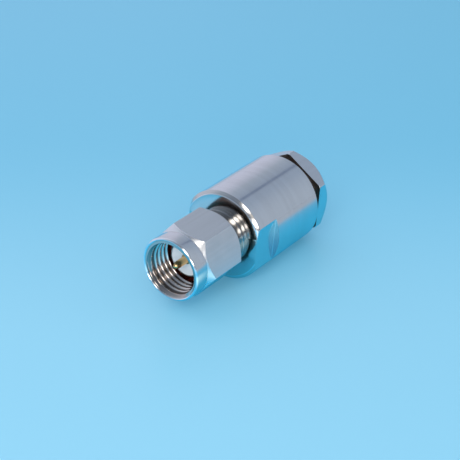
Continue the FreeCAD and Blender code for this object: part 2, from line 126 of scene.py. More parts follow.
def take(piece: Piece) -> None:
    """Make a piece the only selected and active one.

    Args:
        piece: the piece.
    """
    deselect()
    piece.select_set(True)
    bpy.context.view_layer.objects.active = piece


def turn(name: str, corners: list[Corner], steps: int = 3) -> Piece:
    """Turn a piece: extrude its closed section point by point and spin it about the X axis.

    Args:
        name: the piece's name.
        corners: corners of the section in order.
        steps: straight pieces that each rounding is made of.

    Returns:
        The turned piece, in millimetres.
    """
    section = rounded(corners, steps)
    deselect()
    bpy.ops.mesh.primitive_plane_add(size=0.01, location=(section[0][0], 0, section[0][1]))
    piece = bpy.context.object
    piece.name = piece.data.name = name
    bpy.ops.object.transform_apply(location=True, rotation=True, scale=True)
    bpy.ops.object.mode_set(mode="EDIT")
    bpy.ops.mesh.select_mode(type="VERT")
    bpy.ops.mesh.select_all(action="SELECT")
    bpy.ops.mesh.merge(type="CENTER")
    for (x0, r0), (x1, r1) in zip(section, section[1:] + section[:1]):
        bpy.ops.mesh.extrude_vertices_move(TRANSFORM_OT_translate={"value": (x1 - x0, 0, r1 - r0)})
    bpy.ops.mesh.select_all(action="SELECT")
    bpy.ops.mesh.remove_doubles(threshold=CLOSE)
    bpy.ops.mesh.spin(steps=AROUND, angle=2 * math.pi, center=(0, 0, 0), axis=(1, 0, 0))
    bpy.ops.mesh.select_all(action="SELECT")
    bpy.ops.mesh.remove_doubles(threshold=CLOSE)
    bpy.ops.mesh.normals_make_consistent(inside=False)
    bpy.ops.object.mode_set(mode="OBJECT")
    return piece


def cut_with(piece: Piece, cutter: Piece) -> None:
    """Cut a piece with another solid and remove the cutter.

    Args:
        piece: the piece that stays.
        cutter: the solid that is taken away.
    """
    take(piece)
    cut = piece.modifiers.new("cut", "BOOLEAN")
    cut.operation = "DIFFERENCE"
    cut.solver = "EXACT"
    cut.object = cutter
    bpy.ops.object.modifier_apply(modifier=cut.name)
    bpy.data.objects.remove(cutter)


def mill_block(piece: Piece, low: Vector, high: Vector, angle: float) -> None:
    """Cut a block out of a piece.

    Args:
        piece: the piece to cut.
        low: lowest corner of the block before it is turned.
        high: highest corner.
        angle: turn of the block about the X axis in degrees.
    """
    deselect()
    bpy.ops.mesh.primitive_cube_add(size=1, location=(low + high) / 2)
    cutter = bpy.context.object
    cutter.scale = high - low
    bpy.ops.object.transform_apply(location=True, rotation=True, scale=True)
    cutter.data.transform(Matrix.Rotation(math.radians(angle), 4, "X"))
    cut_with(piece, cutter)


def bevel_edges(piece: Piece, picked: EdgeTest, width: float) -> None:
    """Bevel the sharp edges that a test picks.

    Args:
        piece: the piece.
        picked: test of an edge's two ends and of the angle between its faces in degrees.
        width: width of the bevel.
    """
    take(piece)
    mesh = piece.data
    faces_at: dict[tuple[int, int], list[Vector]] = {}
    for face in mesh.polygons:
        for key in face.edge_keys:
            faces_at.setdefault(key, []).append(face.normal.copy())
        face.select = False
    for vertex in mesh.vertices:
        vertex.select = False
    for edge in mesh.edges:
        normals = faces_at.get(edge.key, [])
        angle = math.degrees(normals[0].angle(normals[1], 0.0)) if len(normals) == 2 else 0.0
        ends = [mesh.vertices[index].co for index in edge.vertices]
        edge.select = picked(ends[0], ends[1], angle)
    bpy.ops.object.mode_set(mode="EDIT")
    bpy.ops.mesh.select_mode(type="EDGE")
    bpy.ops.mesh.bevel(offset=width, offset_type="OFFSET", segments=2, affect="EDGES", clamp_overlap=True)
    bpy.ops.object.mode_set(mode="OBJECT")


def mill_hexagon(piece: Piece, turned_by: float, across: float, bevel: float) -> None:
    """Mill six flats that lie along the axis and bevel the edges round them.

    Args:
        piece: the piece.
        turned_by: direction of a corner in degrees about the X axis, from +Y.
        across: distance between opposite flats.
        bevel: width of the bevel.
    """
    take(piece)
    bpy.ops.object.mode_set(mode="EDIT")
    for index in range(6):
        angle = math.radians(turned_by + 30 + 60 * index)
        out = Vector((0, math.cos(angle), math.sin(angle)))
        bpy.ops.mesh.select_all(action="SELECT")
        bpy.ops.mesh.bisect(plane_co=out * across / 2, plane_no=out, use_fill=True, clear_outer=True, threshold=0.0001)
    bpy.ops.object.mode_set(mode="OBJECT")
    limit = across / 2 - 0.02

    def picked(first: Vector, second: Vector, bend: float) -> bool:
        """Pick the bent edges that lie on the hexagon."""
        return min(from_axis(first), from_axis(second)) > limit and bend > LEAST_BEND

    bevel_edges(piece, picked, bevel)


def finish_piece(piece: Piece) -> Piece:
    """Smooth a piece's round surfaces, keep its flats flat and bring it from millimetres to metres.

    Args:
        piece: the piece.

    Returns:
        The same piece.
    """
    take(piece)
    bpy.ops.object.mode_set(mode="EDIT")
    bpy.ops.mesh.select_all(action="SELECT")
    bpy.ops.mesh.normals_make_consistent(inside=False)
    bpy.ops.transform.resize(value=(MM, MM, MM), center_override=(0, 0, 0))
    bpy.ops.object.mode_set(mode="OBJECT")
    bpy.ops.object.shade_smooth_by_angle(angle=SMOOTH_ANGLE)
    weighting = piece.modifiers.new("weighting", "WEIGHTED_NORMAL")
    weighting.keep_sharp = True
    bpy.ops.object.modifier_apply(modifier=weighting.name)
    return piece


@dataclass(frozen=True)
class Thread:
    """A right-handed screw thread along the X axis with rounded ridges, in millimetres."""

    pitch: float
    crest: float
    root: float
    start: float

    def radius(self, x: float, angle: float) -> float:
        """Radius of the thread at a place along the axis and an angle about it in radians, from +Y."""
        phase = 2 * math.pi * (x - self.start) / self.pitch - angle
        return (self.crest + self.root) / 2 + (self.crest - self.root) / 2 * math.cos(phase)


def cut_thread(
    piece: Piece, first: float, last: float, plain: float, shape: Callable[[float, float], float]
) -> None:
    """Shape the closely divided rows of a turned piece as a screw thread.

    Args:
        piece: the turned piece.
        first: where the rows start along the axis.
        last: where they end.
        plain: radius of the rows before they are shaped.
        shape: the new radius from the place along the axis and the angle about it.
    """
    for vertex in piece.data.vertices:
        x, y, z = vertex.co
        radius = math.hypot(y, z)
        if first - ON_ROW / 10 <= x <= last + ON_ROW / 10 and abs(radius - plain) <= ON_ROW:
            scale = shape(x, math.atan2(z, y)) / radius
            vertex.co = (x, y * scale, z * scale)
    piece.data.update()


# Shader node groups.


class Tree:
    """A node tree that is being wired."""

    def __init__(self, tree: bpy.types.NodeTree) -> None:
        """Keep the tree that nodes are added to."""
        self.tree = tree

    def add(self, kind: str, values: dict[str, object] | None = None, **settings: object) -> bpy.types.Node:
        """Add a node.

        Args:
            kind: the node's type without its ShaderNode prefix.
            values: sockets by name or number, each with a value or an output to link.
            settings: properties of the node.

        Returns:
            The node.
        """
        node = self.tree.nodes.new(kind if kind.startswith("NodeGroup") else "ShaderNode" + kind)
        for key, value in settings.items():
            setattr(node, key, value)
        for key, value in (values or {}).items():
            if isinstance(value, Socket):
                self.tree.links.new(value, node.inputs[key])
            else:
                node.inputs[key].default_value = value
        return node

    def place(self) -> Socket:
        """Place of the shaded spot on its object."""
        return self.add("TexCoord").outputs["Object"]

    def split(self, place: Socket) -> bpy.types.NodeOutputs:
        """Split a place into its three parts."""
        return self.add("SeparateXYZ", {0: place}).outputs

    def math(self, operation: str, *values: object) -> Socket:
        """Add a math node for numbers or outputs and return its result."""
        return self.add("Math", dict(enumerate(values)), operation=operation).outputs[0]

    def length(self, first: Socket, second: Socket) -> Socket:
        """Find the length of two parts at right angles to each other."""
        squares = self.math("POWER", first, 2.0), self.math("POWER", second, 2.0)
        return self.math("SQRT", self.math("ADD", *squares))

    def noise(self, place: Socket, scale: object, detail: float, roughness: float = 0.5) -> Socket:
        """Add a noise that is read at a place, with its scale, finer layers and their strength."""
        values = {"Vector": place, "Scale": scale, "Detail": detail, "Roughness": roughness}
        return self.add("TexNoise", values).outputs[0]

    def blend(self, factor: object, first: object, second: object, mode: str = "MIX") -> Socket:
        """Mix two colours.

        Args:
            factor: how much of the second.
            first: first colour or output.
            second: second colour or output.
            mode: blend type.

        Returns:
            The mixed colour.
        """
        values = {0: factor}
        for number, colour in ((6, first), (7, second)):
            values[number] = colour if isinstance(colour, Socket) else (*colour, 1)
        return self.add("Mix", values, data_type="RGBA", blend_type=mode).outputs[2]

    def spread(self, value: object, low: float, high: float, to_low: float, to_high: float) -> Socket:
        """Map a value smoothly from the range of low to high to that of to_low to to_high."""
        values = dict(enumerate((value, low, high, to_low, to_high)))
        return self.add("MapRange", values, interpolation_type="SMOOTHSTEP").outputs[0]

    def link(self, output: Socket, target: Socket) -> None:
        """Wire an output to an input."""
        self.tree.links.new(output, target)


def new_group(
    name: str, inputs: dict[str, float], outputs: list[str]
) -> tuple[Tree, bpy.types.NodeOutputs, bpy.types.NodeInputs]:
    """Start a shader node group.

    Args:
        name: the group's name.
        inputs: its number inputs with their usual values.
        outputs: its number outputs.

    Returns:
        The tree, what it is given and where its results go.
    """
    group = bpy.data.node_groups.new(name, "ShaderNodeTree")
    for title, value in inputs.items():
        socket = group.interface.new_socket(title, in_out="INPUT", socket_type="NodeSocketFloat")
        socket.default_value = value
    for title in outputs:
        group.interface.new_socket(title, in_out="OUTPUT", socket_type="NodeSocketFloat")
    tree = Tree(group)
    return tree, tree.add("NodeGroupInput").outputs, tree.add("NodeGroupOutput").inputs


def new_material(name: str) -> tuple[bpy.types.Material, Tree, bpy.types.NodeInputs]:
    """Start a material.

    Args:
        name: its name.

    Returns:
        The material, its tree and the inputs of its surface.
    """
    material = bpy.data.materials.new(name)
    material.use_nodes = True
    return material, Tree(material.node_tree), material.node_tree.nodes["Principled BSDF"].inputs


def stretched_noise(tree: Tree, result: bpy.types.NodeInputs, spot: Socket, roughness: float, broad: float) -> None:
    """Give a group a fine height and a broader tone, read at a stretched place."""
    tree.link(tree.noise(spot, 1.0, 3.0, roughness), result["Height"])
    tree.link(tree.spread(tree.noise(spot, broad, 2.0), 0.3, 0.7, 0.0, 1.0), result["Tone"])


def make_lathe_lines() -> None:
    """Fine rings that a lathe leaves: they change along the axis and outwards, and hardly around it."""
    tree, given, result = new_group("lathe_lines", {"Per mm": 14.0, "Waver": 0.04}, ["Height", "Tone"])
    parts = tree.split(tree.place())
    density = tree.math("MULTIPLY", given["Per mm"], 1 / MM)
    turned = tree.math("ARCTAN2", parts[2], parts[1])
    around = tree.math("MULTIPLY", turned, given["Waver"])
    along = tree.math("MULTIPLY", parts[0], density)
    outwards = tree.math("MULTIPLY", tree.length(parts[1], parts[2]), density)
    spot = tree.add("CombineXYZ", {0: along, 1: outwards, 2: around}).outputs[0]
    stretched_noise(tree, result, spot, 0.6, 0.11)


def make_drawn_grain() -> None:
    """Fine straight lines along the axis, as on drawn hexagon bar."""
    tree, given, result = new_group("drawn_grain", {"Per mm": 16.0, "Stretch": 0.03}, ["Height", "Tone"])
    parts = tree.split(tree.place())
    density = tree.math("MULTIPLY", given["Per mm"], 1 / MM)
    slow = tree.math("MULTIPLY", density, given["Stretch"])
    scaled = {index: tree.math("MULTIPLY", parts[index], by) for index, by in enumerate((slow, density, density))}
    stretched_noise(tree, result, tree.add("CombineXYZ", scaled).outputs[0], 0.55, 0.12)


def make_handling() -> None:
    """Faint cloudy patches left by handling."""
    tree, given, result = new_group("handling", {"Per mm": 0.35, "Edge": 0.5}, ["Mask"])
    density = tree.math("MULTIPLY", given["Per mm"], 1 / MM)
    cloud = tree.noise(tree.place(), density, 5.0, 0.55)
    high = tree.math("ADD", given["Edge"], 0.22)
    mask = tree.add("MapRange", {0: cloud, 1: given["Edge"], 2: high, 3: 0.0, 4: 1.0})
    tree.link(mask.outputs[0], result["Mask"])


def make_edge_wear() -> None:
    """Rubbed edges, found from how sharply the surface bends, broken up by a fine noise."""
    tree, given, result = new_group("edge_wear", {"Least": 0.53, "Most": 0.62}, ["Mask"])
    bend = tree.add("NewGeometry").outputs["Pointiness"]
    fleck = tree.spread(tree.noise(tree.place(), 6 / MM, 2.0), 0.35, 0.6, 0.35, 1.0)
    sharp = tree.add("MapRange", {0: bend, 1: given["Least"], 2: given["Most"], 3: 0.0, 4: 1.0})
    tree.link(tree.math("MULTIPLY", sharp.outputs[0], fleck), result["Mask"])


class Marks(Enum):
    """What the tool left on a surface."""

    LATHE = "lathe_lines"
    DRAWN = "drawn_grain"


def make_groups() -> None:
    """Build every shader node group once."""
    for make in (make_lathe_lines, make_drawn_grain, make_handling, make_edge_wear):
        make()


def place_group(tree: Tree, name: str, values: dict[str, float] | None = None) -> bpy.types.NodeOutputs:
    """Place a shared group in a material, with its inputs by name, and return its outputs."""
    return tree.add("Group", values, node_tree=bpy.data.node_groups[name]).outputs


# Finishes.


@dataclass(frozen=True)
class RootShade:
    """Painted shade in the roots of an inner thread, in millimetres: it grows outwards from a radius, and inwards from
    the mouth.
    """

    radius: float
    depth: float = 0.14
    mouth: Point = (-2.95, -2.2)
    at_mouth: float = 0.3
    most: float = 0.9
    colour: Colour = (0.08, 0.055, 0.04)

    def over(self, tree: Tree, colour: Socket) -> Socket:
        """Lay the painted root shade over a colour.

        Args:
            tree: the material's tree.
            colour: the colour below.

        Returns:
            The darkened colour.
        """
        parts = tree.split(tree.place())
        away = tree.length(parts[1], parts[2])
        deep = tree.spread(away, self.radius * MM, (self.radius + self.depth) * MM, 0.0, self.most)
        inwards = tree.spread(parts[0], self.mouth[0] * MM, self.mouth[1] * MM, self.at_mouth, 1.0)
        return tree.blend(tree.math("MULTIPLY", deep, inwards), colour, self.colour)


@dataclass(frozen=True)
class MetalFinish:
    """A bare or plated metal with tool marks, handling, rubbed edges and, where given, painted shade in its thread
    roots.
    """

    name: str
    roughness: float
    marks_per_mm: float
    marks_depth: float
    colour: Colour = (0.77, 0.735, 0.69)
    shade: Colour = (0.69, 0.65, 0.60)
    marks: Marks = Marks.LATHE
    brushed: float = 0.0
    # painted shade in the thread roots, if any
    root_shade: RootShade | None = None
    slot: str = "bright_nickel"
    streaked: float = 0.35
    clouded: float = 0.25
    rubbed: float = 0.6
    rubbed_gain: float = 1.08
    rougher_marks: float = 0.05
    rougher_clouds: float = 0.04
    rougher_edges: float = -0.03
    relief: float = 0.002 * MM

    def material(self) -> bpy.types.Material:
        """Build the material.

        Returns:
            The material, made once.
        """
        if self.name in bpy.data.materials:
            return bpy.data.materials[self.name]
        material, tree, surface = new_material(self.name)
        surface["Metallic"].default_value = 1.0
        surface["Anisotropic"].default_value = self.brushed
        lines = place_group(tree, self.marks.value, {"Per mm": self.marks_per_mm})
        cloud = place_group(tree, "handling")["Mask"]
        worn = place_group(tree, "edge_wear")["Mask"]
        streaks = tree.math("MULTIPLY", lines["Tone"], self.streaked)
        dull = tree.math("ADD", streaks, tree.math("MULTIPLY", cloud, self.clouded))
        toned = tree.blend(dull, self.colour, self.shade)
        bright = tuple(min(1.0, part * self.rubbed_gain) for part in self.colour)
        toned = tree.blend(tree.math("MULTIPLY", worn, self.rubbed), toned, bright)
        # Painted shade darkens the roots of an inner thread, more deeply inside.
        if self.root_shade:
            toned = self.root_shade.over(tree, toned)
        tree.link(toned, surface["Base Color"])
        rough = tree.math("MULTIPLY", lines["Height"], self.rougher_marks)
        rough = tree.math("ADD", rough, self.roughness - self.rougher_marks / 2)
        rough = tree.math("ADD", rough, tree.math("MULTIPLY", cloud, self.rougher_clouds))
        rough = tree.math("ADD", rough, tree.math("MULTIPLY", worn, self.rougher_edges))
        tree.link(rough, surface["Roughness"])
        values = {"Strength": self.marks_depth, "Distance": self.relief, "Height": lines["Height"]}
        tree.link(tree.add("Bump", values).outputs[0], surface["Normal"])
        return material


@dataclass(frozen=True)
class SoftFinish:
    """A plastic or rubber with a mottled tone and a fine grain."""

    name: str
    colour: Colour
    shade: Colour
    roughness: float
    grain_per_mm: float
    grain_depth: float
    glow_through: float = 0.0
    slot: str = ""
    mottled: float = 0.6
    mottle_per_mm: float = 1.2
    mottle_edge: float = 0.42
    rougher_grain: float = 0.16
    relief: float = 0.01 * MM

    def material(self) -> bpy.types.Material:
        """Build the material.

        Returns:
            The material, made once.
        """
        if self.name in bpy.data.materials:
            return bpy.data.materials[self.name]
        material, tree, surface = new_material(self.name)
        cloud = place_group(tree, "handling", {"Per mm": self.mottle_per_mm, "Edge": self.mottle_edge})["Mask"]
        grain = tree.noise(tree.place(), self.grain_per_mm / MM, 4.0, 0.6)
        toned = tree.blend(tree.math("MULTIPLY", cloud, self.mottled), self.colour, self.shade)
        tree.link(toned, surface["Base Color"])
        rough = tree.math("MULTIPLY", grain, self.rougher_grain)
        tree.link(tree.math("ADD", rough, self.roughness - self.rougher_grain / 2), surface["Roughness"])
        values = {"Strength": self.grain_depth, "Distance": self.relief, "Height": grain}
        tree.link(tree.add("Bump", values).outputs[0], surface["Normal"])
        if self.glow_through:
            surface["Subsurface Weight"].default_value = self.glow_through
            surface["Subsurface Radius"].default_value = (0.5, 0.5, 0.5)
            surface["Subsurface Scale"].default_value = 0.5 * MM
        return material


Finish = MetalFinish | SoftFinish


@dataclass(frozen=True)
class Face:
    """A face of a piece in millimetres: its place, its radius, the axial part of its normal, and if it is a flat."""

    x: float
    radius: float
    tilt: float
    flat: bool


FinishChoice = Callable[[Face], MetalFinish]


TURNED = MetalFinish("turned_nickel", 0.16, 12.0, 0.12, brushed=0.15)
DRAWN = MetalFinish("drawn_nickel", 0.20, 16.0, 0.12, marks=Marks.DRAWN)
MILLED = MetalFinish("milled_nickel", 0.17, 18.0, 0.16)
THREADED = MetalFinish("thread_nickel", 0.13, 20.0, 0.10)
# The mouth's thread carries painted shade in its roots, deeper inside.
MOUTH = MetalFinish(
    "mouth_nickel", 0.10, 20.0, 0.10, (0.84, 0.73, 0.65), (0.76, 0.65, 0.57), root_shade=RootShade(radius=3.14)
)
# Rougher satin bevel, with a lighter colour that paints a highlight on the coupling nut's front bevel.
SATIN_HIGHLIGHT = MetalFinish("satin_highlight_nickel", 0.29, 12.0, 0.12, (0.95, 0.92, 0.89), (0.88, 0.84, 0.80))
# Darker metal painted as shade in the gap behind the main body and in the clamp nut's undercut.
GAP_SHADE = MetalFinish("painted_gap_shade", 0.34, 12.0, 0.20, (0.30, 0.24, 0.20), (0.22, 0.17, 0.14))
# Very dark metal painted as shade on the coupling nut's rear face and bore, between the nut and the body.
REAR_SHADE = MetalFinish("painted_rear_shade", 0.30, 12.0, 0.20, (0.15, 0.11, 0.09), (0.10, 0.08, 0.06))
# Darker metal painted as shade on the neck between the coupling nut and the main body.
NECK_SHADE = MetalFinish("painted_neck_shade", 0.045, 12.0, 0.12, (0.42, 0.41, 0.40), (0.32, 0.30, 0.29))
# Blue-tinted metal: the blue table's reflection painted on the wall of the wrench step.
STEP_REFLECTION = MetalFinish("painted_step_reflection", 0.22, 12.0, 0.12, (0.30, 0.56, 0.68), (0.24, 0.48, 0.60))
# Near-white metal for painted highlights on rims, front bevels and edges.
EDGE_HIGHLIGHT = MetalFinish("painted_edge_highlight", 0.16, 12.0, 0.05, (0.98, 0.97, 0.95), (0.94, 0.93, 0.90))
GOLD = MetalFinish("gilt", 0.22, 24.0, 0.10, (1.0, 0.62, 0.28), (0.90, 0.50, 0.20), slot="gold_plate")
BRONZE = MetalFinish("turned_bronze", 0.28, 12.0, 0.2, (0.66, 0.44, 0.27), (0.52, 0.32, 0.18))
BRASS = MetalFinish("turned_brass", 0.24, 12.0, 0.2, (0.83, 0.68, 0.38), (0.70, 0.52, 0.26))
WAXY_WHITE = SoftFinish("waxy_white", (0.90, 0.91, 0.90), (0.84, 0.86, 0.86), 0.42, 9.0, 0.15, 0.25)
SILICONE = SoftFinish("soft_silicone", (0.55, 0.06, 0.03), (0.42, 0.045, 0.025), 0.55, 14.0, 0.3, slot="silicone")
RUBBER = SoftFinish(
    "soft_rubber", (0.035, 0.035, 0.038), (0.02, 0.02, 0.022), 0.62, 12.0, 0.35, slot="black_rubber"
)


def dress(piece: Piece, finishes: list[Finish], choose: FinishChoice | None = None) -> None:
    """Give a piece its materials.

    Args:
        piece: the piece.
        finishes: its finishes.
        choose: picks one of them for a face.
    """
    piece.data.materials.clear()
    for finish in finishes:
        piece.data.materials.append(finish.material())
    if choose:
        for polygon in piece.data.polygons:
            centre, tilt = polygon.center / MM, polygon.normal.x
            flat = len(polygon.vertices) > FLAT_CORNERS and abs(tilt) < 0.01
            polygon.material_index = finishes.index(choose(Face(centre.x, from_axis(centre), tilt, flat)))


def hand_over(
    piece: Piece, body: str, node: str, finishes: list[Finish], choose: FinishChoice | None = None
) -> None:
    """Dress a finished piece, let it ride on its body and stand for its node.

    Args:
        piece: the piece.
        body: the CAD body.
        node: the CAD node that it replaces.
        finishes: its finishes.
        choose: picks the finish of a face.
    """
    dress(piece, finishes, choose)
    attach(piece, body)
    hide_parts(node)
    log.info("%s: %d faces on %s", piece.name, len(piece.data.polygons), body)


def keep_solid(node: str, finish: Finish) -> None:
    """Dress a solid that stays as it is."""
    dress(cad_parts[node], [finish])
    log.info("%s keeps its solid", node)


# Sub-assemblies, all sizes in millimetres: along the axis from the front reference plane, and radii.


@dataclass
class CouplingNut:
    """Hexagon nut with a plain collar, an inner thread and the ring's groove."""

    front: float = -3.05
    rear: float = 5.33
    collar: float = 3.97
    collar_end: float = -0.92
    rim_bevel: float = 0.17
    rim_width: float = 0.16
    undercut: float = 0.12
    undercut_width: float = 0.16
    blank: float = 4.70
    rear_face: float = 3.90
    across: float = 8.00
    flat_bevel: float = 0.045
    turned_by: float = 11.5
    thread: Thread = Thread(pitch=0.7056, crest=3.00, root=3.35, start=-2.40)
    taper: float = 1.4
    lip: float = 0.10
    thread_end: float = 0.45
    mouth: float = 3.62
    relief: float = 3.22
    relief_end: float = 2.95
    bore: float = 3.10
    bore_bevel: float = 0.20
    groove: float = 3.40
    groove_start: float = 3.55
    groove_end: float = 4.25
    # from here rearwards the nut's rear faces and bore get painted shade
    shaded_rear_from: float = 3.00

    def inner(self, x: float, angle: float) -> float:
        """Radius of the thread at a place and angle: it narrows from the mouth inwards."""
        opened = max(0.0, 1 - (x - self.front - self.lip) / self.taper)
        return self.thread.radius(x, angle) + (self.mouth - self.thread.root) * opened

    def build(self) -> Piece:
        """Turn, thread and mill the nut.

        Returns:
            The finished piece.
        """
        rear_step = self.blank - self.rear_face
        outside = [
            Corner(self.front, self.collar - self.rim_bevel, 0.08),
            Corner(self.front + self.rim_bevel, self.collar, 0.08),
            Corner(self.collar_end - self.undercut_width, self.collar, 0.07),
            Corner(self.collar_end - 0.02, self.collar - self.undercut, 0.03),
            Corner(self.collar_end + self.blank - self.collar, self.blank),
            Corner(self.rear - rear_step, self.blank), Corner(self.rear, self.blank - rear_step, 0.05),
            Corner(self.rear, self.bore + self.bore_bevel, 0.03),
            Corner(self.rear - self.bore_bevel, self.bore, 0.03), Corner(self.groove_end, self.bore),
            Corner(self.groove_end, self.groove), Corner(self.groove_start, self.groove),
            Corner(self.groove_start, self.bore), Corner(self.relief_end, self.bore),
            Corner(self.relief_end, self.relief), Corner(self.thread_end + 0.03, self.relief),
        ]
        thread_front = self.front + self.lip
        threaded = rows(self.thread_end, thread_front + 0.02, self.thread.pitch / 20, self.thread.crest)
        mouth = [Corner(thread_front, self.mouth, 0.03), Corner(self.front, self.mouth + self.lip, 0.05)]
        piece = turn("hex_nut", outside + threaded + mouth)
        cut_thread(piece, thread_front + 0.015, self.thread_end, self.thread.crest, self.inner)
        mill_hexagon(piece, self.turned_by, self.across, self.flat_bevel)
        return finish_piece(piece)

    def finish_at(self, face: Face) -> MetalFinish:
        """Choose a face's finish: drawn flats, a painted highlight on the rim, a threaded mouth with painted shade in
        its roots, a satin front bevel with a painted highlight, and painted shade at the rear.

        Args:
            face: the face.

        Returns:
            The finish.
        """
        if face.flat:
            return DRAWN
        # The mouth's rim gets a painted highlight.
        if face.x < self.front + self.rim_width and face.radius > self.mouth:
            return EDGE_HIGHLIGHT
        if face.radius < self.mouth and face.x < self.shaded_rear_from:
            return MOUTH
        # The front bevel is satin and gets a painted highlight.
        if self.collar_end - 0.02 < face.x < 0 and face.radius > self.collar - self.undercut and face.tilt < -0.4:
            return SATIN_HIGHLIGHT
        # Rear faces and bore in the gap to the body get painted shade.
        at_rear = face.x > self.shaded_rear_from and (face.radius < self.rear_face - 0.01 or face.tilt > 0.3)
        return REAR_SHADE if at_rear else TURNED

    def add(self) -> None:
        """Build, dress and hand over the nut."""
        finishes = [TURNED, DRAWN, MOUTH, SATIN_HIGHLIGHT, REAR_SHADE, EDGE_HIGHLIGHT]
        hand_over(self.build(), "coupling", "coupling_nut", finishes, self.finish_at)


@dataclass
class FrontEnd:
    """Front body with its contact, insulators, gasket and retaining ring."""

    barrel: float = 2.295
    barrel_bore: float = 2.07
    barrel_bevel: float = 0.08
    journal: float = 3.05
    journal_start: float = 2.50
    ring_groove: float = 2.45
    groove_start: float = 3.45
    groove_end: float = 4.35
    neck: float = 3.50
    neck_front: float = 5.58
    neck_bevel: float = 0.07
    joint: float = 6.52
    spigot: float = 2.98
    spigot_end: float = 10.42
    spigot_bevel: float = 0.20
    rear_bore: float = 2.60
    rear_bore_start: float = 7.50
    pin: float = 0.457
    pin_tip: float = -2.20
    stem: float = 0.635
    collar: float = 1.10
    collar_start: float = 8.50
    cup: float = 0.90
    cup_start: float = 9.10
    cup_end: float = 12.20
    cup_bore: float = 0.50
    cup_floor: float = 9.60
    drill_tip: float = 9.32
    sight_hole: float = 0.25
    sight_hole_at: float = 10.30
    gasket_front: float = 1.88
    gasket_rear: float = 2.48
    gasket_inner: float = 2.345
    gasket_outer: float = 2.95

    def front_body(self) -> Piece:
        """Turn the front body.

        Returns:
            The finished piece.
        """
        corners = [
            Corner(0, self.barrel_bore, 0.02), Corner(0, self.barrel - self.barrel_bevel, 0.02),
            Corner(self.barrel_bevel, self.barrel, 0.02), Corner(self.journal_start, self.barrel),
            Corner(self.journal_start, self.journal, 0.03), Corner(self.groove_start, self.journal),
            Corner(self.groove_start, self.ring_groove), Corner(self.groove_end, self.ring_groove),
            Corner(self.groove_end, self.journal), Corner(self.neck_front, self.journal),
            Corner(self.neck_front, self.neck - self.neck_bevel, 0.02),
            Corner(self.neck_front + self.neck_bevel, self.neck, 0.02),
            Corner(self.joint - self.neck_bevel, self.neck, 0.02),
            Corner(self.joint, self.neck - self.neck_bevel, 0.02), Corner(self.joint, self.spigot),
            Corner(self.spigot_end - self.spigot_bevel, self.spigot),
            Corner(self.spigot_end, self.spigot - self.spigot_bevel), Corner(self.spigot_end, self.rear_bore),
            Corner(self.rear_bore_start, self.rear_bore), Corner(self.rear_bore_start, self.barrel_bore),
        ]
        return finish_piece(turn("barrel_and_neck", corners))

    def contact(self) -> Piece:
        """Turn the gilt contact with its coned tip, and drill its solder cup's sight hole.

        Returns:
            The finished piece.
        """
        corners = [
            Corner(self.pin_tip, 0.0), Corner(self.pin_tip, 0.12, 0.08),
            Corner(self.pin_tip + 0.25, 0.36, 0.10), Corner(self.pin_tip + 0.55, self.pin, 0.20),
            Corner(0, self.pin), Corner(0, self.stem, 0.03),
            Corner(self.collar_start, self.stem), Corner(self.collar_start, self.collar),
            Corner(self.cup_start, self.collar), Corner(self.cup_start, self.cup),
            Corner(self.cup_end, self.cup, 0.03), Corner(self.cup_end, self.cup_bore, 0.03),
            Corner(self.cup_floor, self.cup_bore), Corner(self.drill_tip, 0.0),
        ]
        piece = turn("gilt_pin", corners)
        deselect()
        bpy.ops.mesh.primitive_cylinder_add(
            vertices=32,
            radius=self.sight_hole,
            depth=2 * self.cup,
            location=(self.sight_hole_at, -self.cup, 0),
            rotation=(math.pi / 2, 0, 0),
        )
        cutter = bpy.context.object
        bpy.ops.object.transform_apply(location=True, rotation=True, scale=True)
        cut_with(piece, cutter)
        return finish_piece(piece)

    def gasket(self) -> Piece:
        """Mould the soft ring round the barrel.

        Returns:
            The finished piece.
        """
        corners = [
            Corner(self.gasket_front, self.gasket_inner, 0.1),
            Corner(self.gasket_front, self.gasket_outer, 0.14),
            Corner(self.gasket_rear, self.gasket_outer, 0.14), Corner(self.gasket_rear, self.gasket_inner, 0.1),
        ]
        return finish_piece(turn("face_gasket", corners, 4))

    def finish_at(self, face: Face) -> MetalFinish:
        """Choose a face's finish: darker metal as painted shade from the journal on."""
        return NECK_SHADE if face.x > self.journal_start + 0.1 else TURNED

    def add(self) -> None:
        """Build, dress and hand over the pieces of the front end."""
        hand_over(self.front_body(), "shell", "front_body", [TURNED, NECK_SHADE], self.finish_at)
        hand_over(self.contact(), "shell", "centre_contact", [GOLD])
        hand_over(self.gasket(), "shell", "interface_gasket", [SILICONE])
        keep_solid("front_insulator", WAXY_WHITE)
        keep_solid("rear_insulator", WAXY_WHITE)
        keep_solid("retaining_ring", BRONZE)


